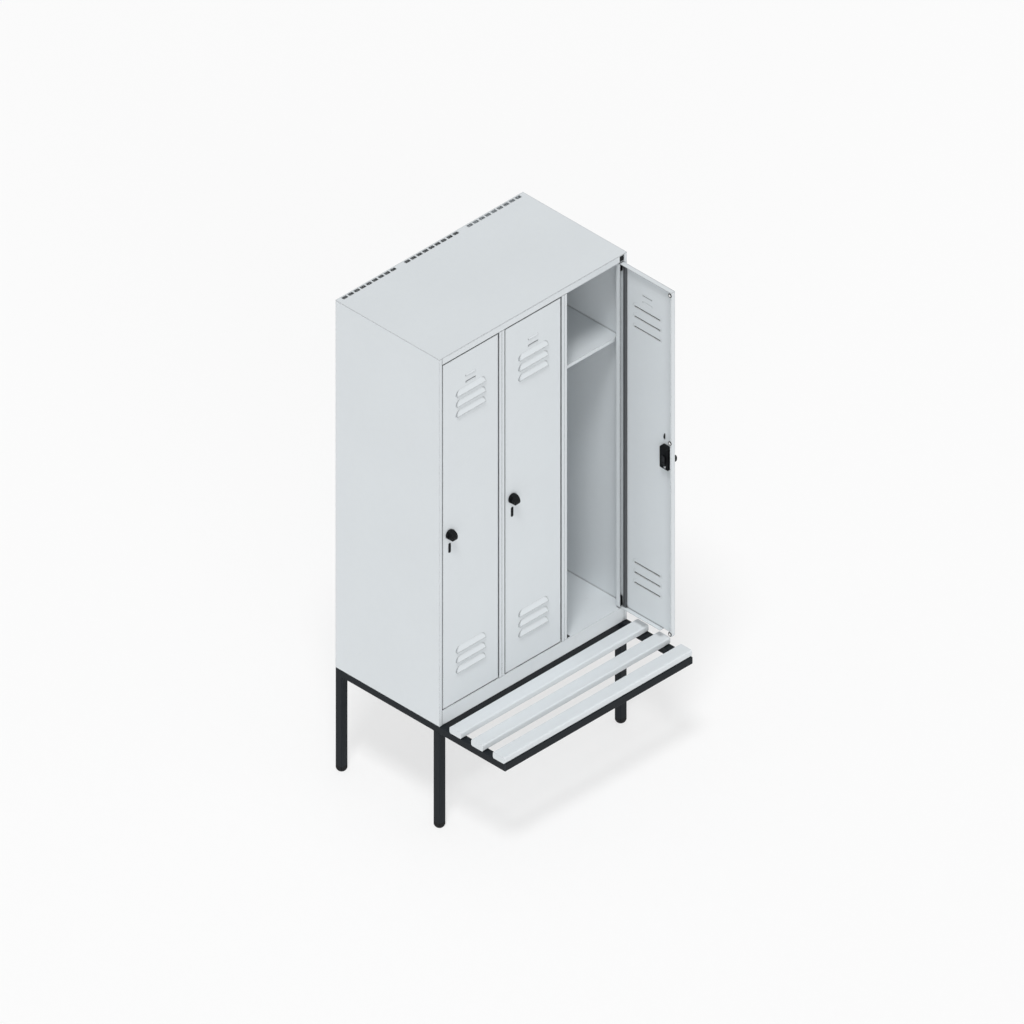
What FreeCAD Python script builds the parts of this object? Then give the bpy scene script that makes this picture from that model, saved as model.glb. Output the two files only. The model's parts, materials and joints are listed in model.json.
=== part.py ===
import FreeCAD, Part
import math
import os

os.makedirs("parts", exist_ok=True)

# Overall sizes in millimetres. X runs to the right, Y to the back and Z up.
# X = 0 is the left side of the body, Y = 0 its front and Z = 0 the floor.
WIDTH = 900.0
DEPTH = 500.0
HEIGHT = 1950.0
BENCH_REACH = 315.0
BODY_BOTTOM = 425.0
COMPARTMENTS = 3
PITCH = WIDTH / COMPARTMENTS

# Underframe of square tube.
TUBE = 30.0
TUBE_WALL = 2.0
TUBE_CORNER = 3.0
FOOT_HEIGHT = 22.0
FOOT_PLUG_HEIGHT = 24.0
FOOT_PLUG_CLEARANCE = 0.2
FOOT_BASE_RADIUS = 14.0
FOOT_BULGE_RADIUS = 18.5
FOOT_BULGE_HEIGHT = 6.0

# Bench slats, hollow profiles closed by end caps.
SLAT_WIDTH = 56.0
SLAT_HEIGHT = 26.0
SLAT_WALL = 3.0
SLAT_CORNER = 6.0
SLAT_SETBACK = 3.0
SLAT_GAP = 48.0
SLAT_COUNT = 3
CAP_THICKNESS = 3.0
CAP_PLUG = 12.0
CAP_CLEARANCE = 0.2

# Sheet of the body.
SHEET = 1.0
BEND = 1.0
STILE = 13.5
STOP_DEPTH = 24.0
STOP_LIP = 15.0
REAR_FLANGE = 15.0
TOP_RAIL = 28.5
PLINTH = 60.5
RAIL_FLANGE = 26.0
PLINTH_FLANGE = 85.0
FLOOR_NOTCH = 17.5
SEAM = 0.2

# Cuts run past the piece by OVERCUT, and SLIVER keeps two faces or points apart.
OVERCUT = 1.0
SLIVER = 0.01

# Vents along the rear edge of the roof.
VENT_COUNT = 9
VENT_PITCH = 29.0
VENT_LENGTH = 22.0
VENT_WIDTH = 13.0
VENT_INSET = 5.0
VENT_CORNER = 2.0

# Hat shelf, coat rail and hooks of a compartment. The shelf is measured down from the roof.
SHELF_DROP = 362.0
SHELF_FRONT = 34.0
SHELF_FOLD = 15.0
SHELF_RETURN = 12.0
COAT_RAIL_RADIUS = 10.0
COAT_RAIL_WALL = 1.5
COAT_RAIL_DROP = 60.0
COAT_RAIL_BACK = 260.0
HOOKS_PER_RAIL = 3
HOOK_PITCH = 80.0
HOOK_ROD = 2.5
HOOK_STEM = 30.0
HOOK_BEND = 13.0
HOOK_TIP = 6.0
HOOK_BEAD_RADIUS = 4.0
HOOK_BEAD = 6.0
HOOK_RING_WALL = 2.5
HOOK_RING_CLEARANCE = 0.1
HOOK_RING_WIDTH = 8.0

# Doors.
DOOR_GAP = 4.0
DOOR_RECESS = 1.0
DOOR_DEPTH = 20.0
HINGE_LIP = 20.0
FREE_LIP = 5.0
EAR_WIDTH = 12.0
EAR_HEIGHT = 15.0
FLANGE_STOP = 54.0
PIVOT_INSET = 7.5
PIVOT_DEPTH = 9.5
OPEN_ANGLE = 90.0
STIFFENER_START = 22.0
STIFFENER_WIDTH = 14.0
STIFFENER_DEPTH = 7.0

# Pivot pins and their bearings.
PIN_RADIUS = 3.0
PIN_CLEARANCE = 0.05
PIN_ENGAGEMENT = 18.0
PIN_END_ROOM = 1.0
PIN_COLLAR_RADIUS = 6.0
PIN_COLLAR_GAP = 0.4
PIN_HEAD_RADIUS = 5.5
PIN_HEAD = 4.0
BEARING_WIDTH = 12.0
BEARING_DEPTH = 16.0
BEARING_HEIGHT = 36.0
HOUSING_WIDTH = 19.0
HOUSING_DEPTH = 18.0
HOUSING_HEIGHT = 24.0

# Louvres: a slit in the skin behind a raised hood, whose lower edge is rolled back to a narrow slot.
# The upper rows are measured down from the roof, the lower rows up from the bottom of the body.
LOUVRE_LENGTH = 138.0
LOUVRE_HEIGHT = 23.0
LOUVRE_REACH = 7.0
LOUVRE_SLIT = 6.0
LOUVRE_SLIT_INSET = 7.5
LOUVRE_SLOT = 2.0
LOUVRE_CORNER = 19.0
LOUVRE_PITCH = 42.0
LOUVRE_ROWS = 3
LOUVRE_DROP = 194.0
LOUVRE_RISE = 183.0

# Card holder, two pressed lips that face each other, measured down from the roof.
CARD_LENGTH = 46.0
CARD_LOW_DROP = 152.0
CARD_HIGH_DROP = 130.0
CARD_LIP = 7.5
CARD_OVERLAP = 2.0
CARD_REACH = 2.2

# Turning latch.
KNOB_FROM_EDGE = 31.5
KNOB_HEIGHT = 778.0
KNOB_RADIUS = 18.5
KNOB_REACH = 28.0
KNOB_SHOULDER = 18.0
KNOB_BASE = 7.0
KNOB_GRIP = 19.0
KNOB_GRIP_TIP = 0.5
MOVING_CLEARANCE = 0.4
SPINDLE_RADIUS = 4.0
SPINDLE_CLEARANCE = 0.05
CAM_WIDTH = 14.0
CAM_THICKNESS = 3.0
CAM_REACH = 27.0
CAM_TAIL = 8.0
CAM_CORNER = 4.0
CAM_BEHIND_STOP = 0.8
CASE_FROM_EDGE = 13.0
CASE_WIDTH = 41.0
CASE_LOW = 748.0
CASE_HEIGHT = 87.0
CASE_DEPTH = 20.0
CASE_CORNER = 3.0
KEY_PLATE_WIDTH = 11.0
KEY_PLATE_HEIGHT = 40.0
KEY_PLATE_REACH = 1.5
KEY_PLATE_CENTRE = 720.0
KEY_SLOT_WIDTH = 3.0
KEY_SLOT_HEIGHT = 28.0
KEY_SLOT_DEPTH = 0.75
TAB_HEIGHT = 866.0
TAB_FROM_EDGE = 47.0
TAB_RADIUS = 15.0
TAB_REACH = 6.0
TAB_THICKNESS = 3.0

# Buffers on the free edge of a door.
BUFFER_RADIUS = 6.0
BUFFER_THICKNESS = 2.4
BUFFER_FROM_EDGE = 4.4
BUFFER_FROM_END = 10.0
BUFFER_MIDDLE = 868.0

# Bolts that hold the body and the slats on the underframe.
BOLT_RADIUS = 3.0
BOLT_HOLE_CLEARANCE = 0.3
BOLT_HEAD_RADIUS = 5.0
BOLT_HEAD = 4.0
BODY_BOLT_INSET = 150.0

# Values that follow from the sizes above.
PLINTH_TOP = BODY_BOTTOM + PLINTH
RAIL_BOTTOM = HEIGHT - TOP_RAIL
FRAME_BOTTOM = BODY_BOTTOM - TUBE
BACK_FACE = DEPTH - 2 * SHEET
DOOR_LEFT = STILE + DOOR_GAP
DOOR_RIGHT = PITCH - STILE - DOOR_GAP
DOOR_LOW = PLINTH_TOP + DOOR_GAP
DOOR_HIGH = RAIL_BOTTOM - DOOR_GAP
DOOR_BACK = DOOR_RECESS + DOOR_DEPTH
SKIN_BACK = DOOR_RECESS + SHEET
PIVOT_X = DOOR_RIGHT - PIVOT_INSET
PIVOT_Y = DOOR_RECESS + PIVOT_DEPTH
KNOB_X = DOOR_LEFT + KNOB_FROM_EDGE
KNOB_Z = BODY_BOTTOM + KNOB_HEIGHT
CAM_FRONT = STOP_DEPTH + SHEET + CAM_BEHIND_STOP

# The origin sits under the middle of the whole, with the right door open and its knob past the side.
RIGHT_REACH = (COMPARTMENTS - 1) * PITCH + PIVOT_X + PIVOT_DEPTH + KNOB_REACH
ORIGIN = FreeCAD.Vector(-RIGHT_REACH / 2, -(DEPTH - BENCH_REACH) / 2, 0)

V = FreeCAD.Vector


def box(x0, x1, y0, y1, z0, z1):
    return Part.makeBox(x1 - x0, y1 - y0, z1 - z0, V(x0, y0, z0))


def fuse(shapes):
    shapes = list(shapes)
    if len(shapes) == 1:
        return shapes[0]
    return shapes[0].multiFuse(shapes[1:]).removeSplitter()


def place(plane, a, b):
    """Lays the flat point (a, b) into the plane named by its two axes."""
    return {"xy": V(a, b, 0), "xz": V(a, 0, b), "yz": V(0, a, b)}[plane]


def outline(points, radii, plane):
    """Closed outline with each corner rounded to its own radius."""
    count = len(points)
    flat = [V(p[0], p[1], 0) for p in points]
    trims = []
    for i in range(count):
        corner = flat[i]
        before = (flat[i - 1] - corner).normalize()
        after = (flat[(i + 1) % count] - corner).normalize()
        if radii[i] <= 0:
            trims.append((corner, None, corner))
            continue
        half = before.getAngle(after) / 2
        run = radii[i] / math.tan(half)
        bisector = (before + after).normalize()
        middle = corner + bisector * (radii[i] / math.sin(half) - radii[i])
        trims.append((corner + before * run, middle, corner + after * run))
    edges = []
    for i in range(count):
        start, middle, end = trims[i]
        following = trims[(i + 1) % count][0]
        points3 = [place(plane, p.x, p.y) for p in (start, end, following)]
        if middle is not None:
            arc = Part.Arc(points3[0], place(plane, middle.x, middle.y), points3[1])
            edges.append(arc.toShape())
        if (points3[2] - points3[1]).Length > SLIVER:
            edges.append(Part.makeLine(points3[1], points3[2]))
    return Part.Wire(edges)


def prism(points, radii, plane, start, length):
    """Extrudes a rounded outline along the axis that its plane leaves out."""
    if not isinstance(radii, (list, tuple)):
        radii = [radii] * len(points)
    along = {"xy": V(0, 0, 1), "xz": V(0, 1, 0), "yz": V(1, 0, 0)}[plane]
    solid = Part.Face(outline(points, radii, plane)).extrude(along * length)
    solid.translate(along * start)
    return solid


def folded(path, plane, start, length, thickness=SHEET, bend=BEND):
    """Bent sheet: its visible face follows the path, its thickness lies to the left of it."""
    line = [V(p[0], p[1], 0) for p in path]
    ways = [(line[i + 1] - line[i]).normalize() for i in range(len(line) - 1)]
    lefts = [V(-w.y, w.x, 0) for w in ways]
    inner = [line[0] + lefts[0] * thickness]
    face_radii = [0.0]
    inner_radii = [0.0]
    for i in range(1, len(line) - 1):
        inner.append(line[i] + (lefts[i - 1] + lefts[i]) * thickness)
        turns_left = ways[i - 1].x * ways[i].y - ways[i - 1].y * ways[i].x > 0
        face_radii.append(bend + thickness if turns_left else bend)
        inner_radii.append(bend if turns_left else bend + thickness)
    inner.append(line[-1] + lefts[-1] * thickness)
    face_radii.append(0.0)
    inner_radii.append(0.0)
    points = [(p.x, p.y) for p in line + inner[::-1]]
    return prism(points, face_radii + inner_radii[::-1], plane, start, length)


def rectangle(a0, a1, b0, b1):
    return [(a0, b0), (a1, b0), (a1, b1), (a0, b1)]


def tube(plane, a0, b0, start, length):
    """Square tube with its section in the plane and its length along the third axis."""
    outer = prism(rectangle(a0, a0 + TUBE, b0, b0 + TUBE), TUBE_CORNER, plane, start, length)
    bore = rectangle(a0 + TUBE_WALL, a0 + TUBE - TUBE_WALL, b0 + TUBE_WALL, b0 + TUBE - TUBE_WALL)
    return outer.cut(prism(bore, TUBE_CORNER - TUBE_WALL, plane, start, length))


def rod_y(radius, x, z, y0, y1):
    return Part.makeCylinder(radius, y1 - y0, V(x, y0, z), V(0, 1, 0))


def rod_z(radius, x, y, z0, z1):
    return Part.makeCylinder(radius, z1 - z0, V(x, y, z0), V(0, 0, 1))


def save(name, solids):
    if not isinstance(solids, list):
        solids = [solids]
    shape = solids[0] if len(solids) == 1 else Part.makeCompound(solids)
    shape = shape.copy()
    shape.translate(ORIGIN)
    shape.exportStep("parts/" + name + ".step")


# Places of the bolts, shared by the holes and the bolts themselves.
slat_fronts = []
for slat in range(SLAT_COUNT):
    slat_fronts.append(-BENCH_REACH + SLAT_SETBACK + slat * (SLAT_WIDTH + SLAT_GAP))
slat_bolts = []
for front in slat_fronts:
    for bolt_x in (TUBE / 2, WIDTH - TUBE / 2):
        slat_bolts.append((bolt_x, front + SLAT_WIDTH / 2))
body_bolts = []
for bolt_x in (BODY_BOLT_INSET, WIDTH - BODY_BOLT_INSET):
    for bolt_y in (TUBE / 2, DEPTH - TUBE / 2):
        body_bolts.append((bolt_x, bolt_y))


def drilled(shape, places):
    for x, y in places:
        hole_top = BODY_BOTTOM + SLAT_HEIGHT / 2
        hole = rod_z(BOLT_RADIUS + BOLT_HOLE_CLEARANCE, x, y, FRAME_BOTTOM - TUBE_WALL, hole_top)
        shape = shape.cut(hole)
    return shape


# Underframe. The front corners are mitred, the side rails butt against the rear legs.
corner = -BENCH_REACH
far = 2 * TUBE


def wedge(points):
    """Flat triangle as high as the tube, which cuts a mitre."""
    return prism(points, 0, "xy", FRAME_BOTTOM, TUBE)


left_mitre = wedge([(0, corner), (far, corner), (far, corner + far)])
right_mitre = wedge([(WIDTH, corner), (WIDTH - far, corner), (WIDTH - far, corner + far)])
side_length = DEPTH - TUBE + BENCH_REACH
left_rail = tube("xz", 0, FRAME_BOTTOM, corner, side_length).cut(left_mitre)
right_rail = tube("xz", WIDTH - TUBE, FRAME_BOTTOM, corner, side_length).cut(right_mitre)
save("side_rail_left", drilled(left_rail, slat_bolts))
save("side_rail_right", drilled(right_rail, slat_bolts))
front_rail = tube("yz", corner, FRAME_BOTTOM, 0, WIDTH)
left_waste = wedge([(0, corner), (0, corner + far), (far, corner + far)])
right_waste = wedge([(WIDTH, corner), (WIDTH, corner + far), (WIDTH - far, corner + far)])
save("front_rail", drilled(front_rail.cut(left_waste).cut(right_waste), slat_bolts))
cross_length = WIDTH - 2 * TUBE
save("middle_rail", drilled(tube("yz", 0, FRAME_BOTTOM, TUBE, cross_length), body_bolts))
save("rear_rail", drilled(tube("yz", DEPTH - TUBE, FRAME_BOTTOM, TUBE, cross_length), body_bolts))
leg_places = {
    "front_left": (0, 0, FRAME_BOTTOM),
    "front_right": (WIDTH - TUBE, 0, FRAME_BOTTOM),
    "rear_left": (0, DEPTH - TUBE, BODY_BOTTOM),
    "rear_right": (WIDTH - TUBE, DEPTH - TUBE, BODY_BOTTOM),
}
feet = []
for leg_name, (leg_x, leg_y, leg_top) in leg_places.items():
    save("leg_" + leg_name, tube("xy", leg_x, leg_y, FOOT_HEIGHT, leg_top - FOOT_HEIGHT))
    block = prism(
        rectangle(leg_x, leg_x + TUBE, leg_y, leg_y + TUBE), TUBE_CORNER, "xy", 0, FOOT_HEIGHT
    )
    centre = V(leg_x + TUBE / 2, leg_y + TUBE / 2, 0)
    rim = TUBE / math.sqrt(2)
    dome_wire = Part.Wire([
        Part.makeLine(V(0, 0, 0), V(FOOT_BASE_RADIUS, 0, 0)),
        Part.Arc(
            V(FOOT_BASE_RADIUS, 0, 0),
            V(FOOT_BULGE_RADIUS, 0, FOOT_BULGE_HEIGHT),
            V(rim, 0, FOOT_HEIGHT),
        ).toShape(),
        Part.makeLine(V(rim, 0, FOOT_HEIGHT), V(0, 0, FOOT_HEIGHT)),
        Part.makeLine(V(0, 0, FOOT_HEIGHT), V(0, 0, 0)),
    ])
    dome = Part.Face(dome_wire).revolve(V(0, 0, 0), V(0, 0, 1), 360)
    dome.translate(centre)
    edge = TUBE_WALL + FOOT_PLUG_CLEARANCE
    plug = prism(
        rectangle(leg_x + edge, leg_x + TUBE - edge, leg_y + edge, leg_y + TUBE - edge),
        TUBE_CORNER - TUBE_WALL, "xy", FOOT_HEIGHT, FOOT_PLUG_HEIGHT,
    )
    feet.append(fuse([block.common(dome), plug]))
save("feet", feet)

# Bench slats with their end caps and bolts.
slat_low = BODY_BOTTOM
slat_high = BODY_BOTTOM + SLAT_HEIGHT
caps = []
for number, front in enumerate(slat_fronts):
    rear = front + SLAT_WIDTH
    x0 = CAP_THICKNESS
    x1 = WIDTH - CAP_THICKNESS
    profile = rectangle(front, rear, slat_low, slat_high)
    slat = prism(profile, SLAT_CORNER, "yz", x0, x1 - x0)
    inset = SLAT_WALL
    bore = rectangle(front + inset, rear - inset, slat_low + inset, slat_high - inset)
    slat = slat.cut(prism(bore, SLAT_CORNER - SLAT_WALL, "yz", x0, x1 - x0))
    save("bench_slat_" + str(SLAT_COUNT - number), drilled(slat, slat_bolts))
    edge = SLAT_WALL + CAP_CLEARANCE
    for cap_x, plug_x in ((0, x0), (x1, x1 - CAP_PLUG)):
        plate = prism(profile, SLAT_CORNER, "yz", cap_x, CAP_THICKNESS)
        core = rectangle(front + edge, rear - edge, slat_low + edge, slat_high - edge)
        plug = prism(core, SLAT_CORNER - SLAT_WALL, "yz", plug_x, CAP_PLUG)
        middle = front + SLAT_WIDTH / 2
        room = BOLT_HEAD_RADIUS * 2
        notch = box(0, WIDTH, middle - room, middle + room, slat_low + inset, slat_high - inset)
        caps.append(fuse([plate, plug.cut(notch.common(plug))]))
save("slat_end_caps", caps)
slat_screws = []
for x, y in slat_bolts:
    shank = rod_z(BOLT_RADIUS, x, y, FRAME_BOTTOM, slat_low + SLAT_WALL + BOLT_HEAD)
    head = rod_z(BOLT_HEAD_RADIUS, x, y, FRAME_BOTTOM - BOLT_HEAD, FRAME_BOTTOM)
    nut = rod_z(BOLT_HEAD_RADIUS, x, y, slat_low + SLAT_WALL, slat_low + SLAT_WALL + BOLT_HEAD)
    slat_screws.append(fuse([shank, head, nut]))
save("slat_bolts", slat_screws)
held = []
for x, y in body_bolts:
    shank = rod_z(BOLT_RADIUS, x, y, FRAME_BOTTOM, BODY_BOTTOM + SHEET + BOLT_HEAD)
    head = rod_z(BOLT_HEAD_RADIUS, x, y, FRAME_BOTTOM - BOLT_HEAD, FRAME_BOTTOM)
    nut = rod_z(BOLT_HEAD_RADIUS, x, y, BODY_BOTTOM + SHEET, BODY_BOTTOM + SHEET + BOLT_HEAD)
    held.append(fuse([shank, head, nut]))
save("body_bolts", held)


def pin_hole(x, sheet_low):
    """Round hole for a pivot pin through one flat sheet."""
    radius = PIN_RADIUS + BOLT_HOLE_CLEARANCE
    return rod_z(radius, x, PIVOT_Y, sheet_low - OVERCUT, sheet_low + SHEET + OVERCUT)


# Body. Each wall is one folded sheet; the lock side carries the stop that the doors close against.
def lock_wall(x, rear, low, high):
    edge = x + STILE
    path = [(x, rear), (x, 0), (edge, 0), (edge, STOP_DEPTH), (edge + STOP_LIP, STOP_DEPTH)]
    if rear == DEPTH:
        path = [(x + REAR_FLANGE, rear)] + path
    wall = folded(path, "xy", low, high - low)
    reach = edge + STOP_LIP + OVERCUT
    for z0, z1 in ((low, PLINTH_TOP), (RAIL_BOTTOM, high)):
        if z1 > z0:
            wall = wall.cut(box(edge - SHEET - BEND, reach, SHEET, STOP_DEPTH + 2 * SHEET, z0, z1))
    return wall


def hinge_wall(x, rear, low, high):
    path = [(x - STILE, 0), (x, 0), (x, rear)]
    if rear == DEPTH:
        path.append((x - REAR_FLANGE, rear))
    return folded(path, "xy", low, high - low)


roof_low = HEIGHT - SHEET
save("side_panel_left", lock_wall(0, DEPTH, BODY_BOTTOM, roof_low))
save("side_panel_right", hinge_wall(WIDTH, DEPTH, BODY_BOTTOM, roof_low))
for number in range(1, COMPARTMENTS):
    x = number * PITCH
    clear_high = box(x - PITCH / 2, x + PITCH / 2, 0, RAIL_FLANGE + SEAM, RAIL_BOTTOM, HEIGHT)
    inner = hinge_wall(x, BACK_FACE, PLINTH_TOP, roof_low)
    save("hinge_wall_" + str(number), inner.cut(clear_high))
    inner = lock_wall(x, BACK_FACE, PLINTH_TOP, roof_low)
    save("lock_wall_" + str(number + 1), inner.cut(clear_high))

roof = box(0, WIDTH, 0, DEPTH, roof_low, HEIGHT)
for number in range(COMPARTMENTS):
    first = number * PITCH + PITCH / 2 - (VENT_COUNT - 1) / 2 * VENT_PITCH
    for vent in range(VENT_COUNT):
        x = first + vent * VENT_PITCH
        vent_back = DEPTH - VENT_INSET
        hole = rectangle(x - VENT_LENGTH / 2, x + VENT_LENGTH / 2, vent_back - VENT_WIDTH, vent_back)
        roof = roof.cut(prism(hole, VENT_CORNER, "xy", roof_low, SHEET))
save("roof_panel", roof)

rail_x0 = STILE
rail_length = WIDTH - 2 * STILE
rail_path = [(RAIL_FLANGE, RAIL_BOTTOM), (0, RAIL_BOTTOM), (0, roof_low), (RAIL_FLANGE, roof_low)]
top_rail = folded(rail_path[::-1], "yz", rail_x0, rail_length)
pivots = [number * PITCH + PIVOT_X for number in range(COMPARTMENTS)]
for x in pivots:
    top_rail = top_rail.cut(pin_hole(x, RAIL_BOTTOM))
window_x0 = pivots[-1] - HOUSING_WIDTH / 2
window_low = RAIL_BOTTOM + BEND + 2 * SHEET
window_high = roof_low - BEND - SHEET
top_rail = top_rail.cut(box(window_x0, rail_x0 + rail_length, 0, SHEET, window_low, window_high))
save("top_rail", top_rail)

floor_path = [
    (PLINTH_FLANGE, BODY_BOTTOM), (0, BODY_BOTTOM), (0, PLINTH_TOP),
    (BACK_FACE, PLINTH_TOP), (BACK_FACE, BODY_BOTTOM), (BACK_FACE - PLINTH_FLANGE, BODY_BOTTOM),
]
floor = folded(floor_path[::-1], "yz", rail_x0, rail_length)
side_strip = (SHEET + SEAM, STILE)
wing_y0 = STOP_DEPTH + 2 * SHEET
for x0, x1 in (side_strip, (WIDTH - side_strip[1], WIDTH - side_strip[0])):
    wing = box(x0, x1, wing_y0, BACK_FACE - BEND - SHEET, PLINTH_TOP - SHEET, PLINTH_TOP)
    floor = floor.fuse(wing)
floor = floor.removeSplitter()
for number in range(COMPARTMENTS):
    x0 = number * PITCH + STILE
    notch_low = PLINTH_TOP - SHEET - OVERCUT
    notch_y0 = SHEET + 2 * BEND
    notch_y1 = STOP_DEPTH - SEAM
    floor = floor.cut(box(x0, x0 + FLOOR_NOTCH, notch_y0, notch_y1, notch_low, PLINTH_TOP + OVERCUT))
for x in pivots:
    floor = floor.cut(pin_hole(x, PLINTH_TOP - SHEET))
save("floor_panel", drilled(floor, body_bolts))
back_low = BODY_BOTTOM + SEAM
back_x0 = SHEET + BEND + SEAM
back = box(back_x0, WIDTH - back_x0, BACK_FACE, BACK_FACE + SHEET, back_low, roof_low)
save("back_panel", back)


def coat_hook(x, rail_z):
    """Ring clamped round the coat rail with a bent rod under it."""
    bore = COAT_RAIL_RADIUS + HOOK_RING_CLEARANCE
    grip = bore + HOOK_RING_WALL
    start = V(x - HOOK_RING_WIDTH / 2, COAT_RAIL_BACK, rail_z)
    ring = Part.makeCylinder(grip, HOOK_RING_WIDTH, start, V(1, 0, 0))
    ring = ring.cut(Part.makeCylinder(bore, HOOK_RING_WIDTH, start, V(1, 0, 0)))
    top = V(x, COAT_RAIL_BACK, rail_z - bore - HOOK_RING_WALL / 2)
    stem_low = V(x, COAT_RAIL_BACK, rail_z - grip - HOOK_STEM)
    lowest = stem_low + V(0, -HOOK_BEND, -HOOK_BEND)
    front = stem_low + V(0, -2 * HOOK_BEND, 0)
    tip = front + V(0, 0, HOOK_TIP)
    path = Part.Wire([
        Part.makeLine(top, stem_low),
        Part.Arc(stem_low, lowest, front).toShape(),
        Part.makeLine(front, tip),
    ])
    section = Part.Wire([Part.makeCircle(HOOK_ROD, top, V(0, 0, -1))])
    rod = path.makePipeShell([section], True, False)
    bead = Part.makeCylinder(HOOK_BEAD_RADIUS, HOOK_BEAD, tip - V(0, 0, HOOK_BEAD / 2), V(0, 0, 1))
    return fuse([ring, rod, bead])


# Shelves, coat rails and hooks, the same in each compartment.
shelf_high = HEIGHT - SHELF_DROP
hooks = []
for number in range(COMPARTMENTS):
    x0 = number * PITCH + SHEET + SEAM
    x1 = (number + 1) * PITCH - SHEET - SEAM
    shelf_rear = BACK_FACE - SEAM
    shelf_path = [
        (shelf_rear, shelf_high), (SHELF_FRONT, shelf_high),
        (SHELF_FRONT, shelf_high - SHELF_FOLD), (SHELF_FRONT + SHELF_RETURN, shelf_high - SHELF_FOLD),
    ]
    save("hat_shelf_" + str(number + 1), folded(shelf_path, "yz", x0, x1 - x0))
    rail_z = shelf_high - COAT_RAIL_DROP
    centre = V(x0, COAT_RAIL_BACK, rail_z)
    rail = Part.makeCylinder(COAT_RAIL_RADIUS, x1 - x0, centre, V(1, 0, 0))
    bore = Part.makeCylinder(COAT_RAIL_RADIUS - COAT_RAIL_WALL, x1 - x0, centre, V(1, 0, 0))
    save("coat_rail_" + str(number + 1), rail.cut(bore))
    for hook in range(HOOKS_PER_RAIL):
        x = (x0 + x1) / 2 + (hook - (HOOKS_PER_RAIL - 1) / 2) * HOOK_PITCH
        hooks.append(coat_hook(x, rail_z))
save("coat_hooks", hooks)

# Pivot pins held by the body, with the housings that back the upper ones.
pins = []
housings = []
for x in pivots:
    collar_top = DOOR_LOW - PIN_COLLAR_GAP
    low_pin = fuse([
        rod_z(PIN_RADIUS, x, PIVOT_Y, PLINTH_TOP - SHEET - PIN_HEAD, DOOR_LOW + PIN_ENGAGEMENT),
        rod_z(PIN_HEAD_RADIUS, x, PIVOT_Y, PLINTH_TOP - SHEET - PIN_HEAD, PLINTH_TOP - SHEET),
        rod_z(PIN_COLLAR_RADIUS, x, PIVOT_Y, PLINTH_TOP, collar_top),
    ])
    pin_top = RAIL_BOTTOM + SHEET + PIN_HEAD
    high_pin = fuse([
        rod_z(PIN_RADIUS, x, PIVOT_Y, DOOR_HIGH - PIN_ENGAGEMENT, pin_top),
        rod_z(PIN_HEAD_RADIUS, x, PIVOT_Y, RAIL_BOTTOM + SHEET, pin_top),
    ])
    pins.extend([low_pin, high_pin])
    half = HOUSING_WIDTH / 2
    housing_low = RAIL_BOTTOM + SHEET
    y0 = SHEET + BEND
    housing = box(
        x - half, x + half, y0, y0 + HOUSING_DEPTH, housing_low, housing_low + HOUSING_HEIGHT
    )
    room = rod_z(PIN_HEAD_RADIUS + SEAM, x, PIVOT_Y, RAIL_BOTTOM, pin_top + SEAM)
    housings.append(housing.cut(room))
save("hinge_pins", pins)
save("hinge_housings", housings)


# Doors, drawn closed in the first compartment and then carried to their places.
def louvre(x, low):
    """Hood, widest at its lower edge, and what is cut out: its hollow, the slit and the slot."""
    half = LOUVRE_LENGTH / 2
    face = DOOR_RECESS
    shapes = []
    for inset, back in ((0.0, SKIN_BACK), (SHEET, face)):
        front = face - LOUVRE_REACH + inset
        bottom = low + inset
        top = low + LOUVRE_HEIGHT - inset
        outer = rectangle(x - half + inset, x + half - inset, bottom, top)
        round_top = LOUVRE_CORNER - inset
        hood = prism(outer, [0, 0, round_top, round_top], "xz", front, back - front)
        slope = [(front, bottom), (back, bottom), (back, top), (face - SLIVER, top)]
        shapes.append(hood.common(prism(slope, 0, "yz", x - half, LOUVRE_LENGTH)))
    hood, hollow = shapes
    x0 = x - half + SHEET
    x1 = x + half - SHEET
    lip_top = low + SHEET
    slit_x0 = x - half + LOUVRE_SLIT_INSET
    slit_x1 = x + half - LOUVRE_SLIT_INSET
    slit = box(slit_x0, slit_x1, face - SHEET, SKIN_BACK, lip_top, lip_top + LOUVRE_SLIT)
    slot = box(x0, x1, face - LOUVRE_SLOT, face, low, lip_top + SHEET)
    return hood, fuse([hollow, slit, slot])


def card_lip(x, edge, upward):
    """Low pressed lip beside a slit, which is on its upper side or, overlapped, on its lower side."""
    half = CARD_LENGTH / 2
    face = DOOR_RECESS
    far = edge - CARD_LIP if upward else edge + CARD_LIP
    step = SHEET if upward else -SHEET
    outer = [(face, edge), (face - CARD_REACH, edge), (face, far)]
    lip = prism(outer, 0, "yz", x - half, CARD_LENGTH)
    inner = [(face + SHEET, edge), (face - CARD_REACH + SHEET, edge), (face + SHEET, far + 2 * step)]
    hollow = prism(inner, 0, "yz", x - half + SHEET, CARD_LENGTH - 2 * SHEET)
    if not upward:
        hollow = hollow.cut(box(x - half, x + half, face, SKIN_BACK, edge, edge + CARD_OVERLAP))
    return lip, hollow


buffer_places = (DOOR_LOW + BUFFER_FROM_END, BODY_BOTTOM + BUFFER_MIDDLE, DOOR_HIGH - BUFFER_FROM_END)


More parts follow.
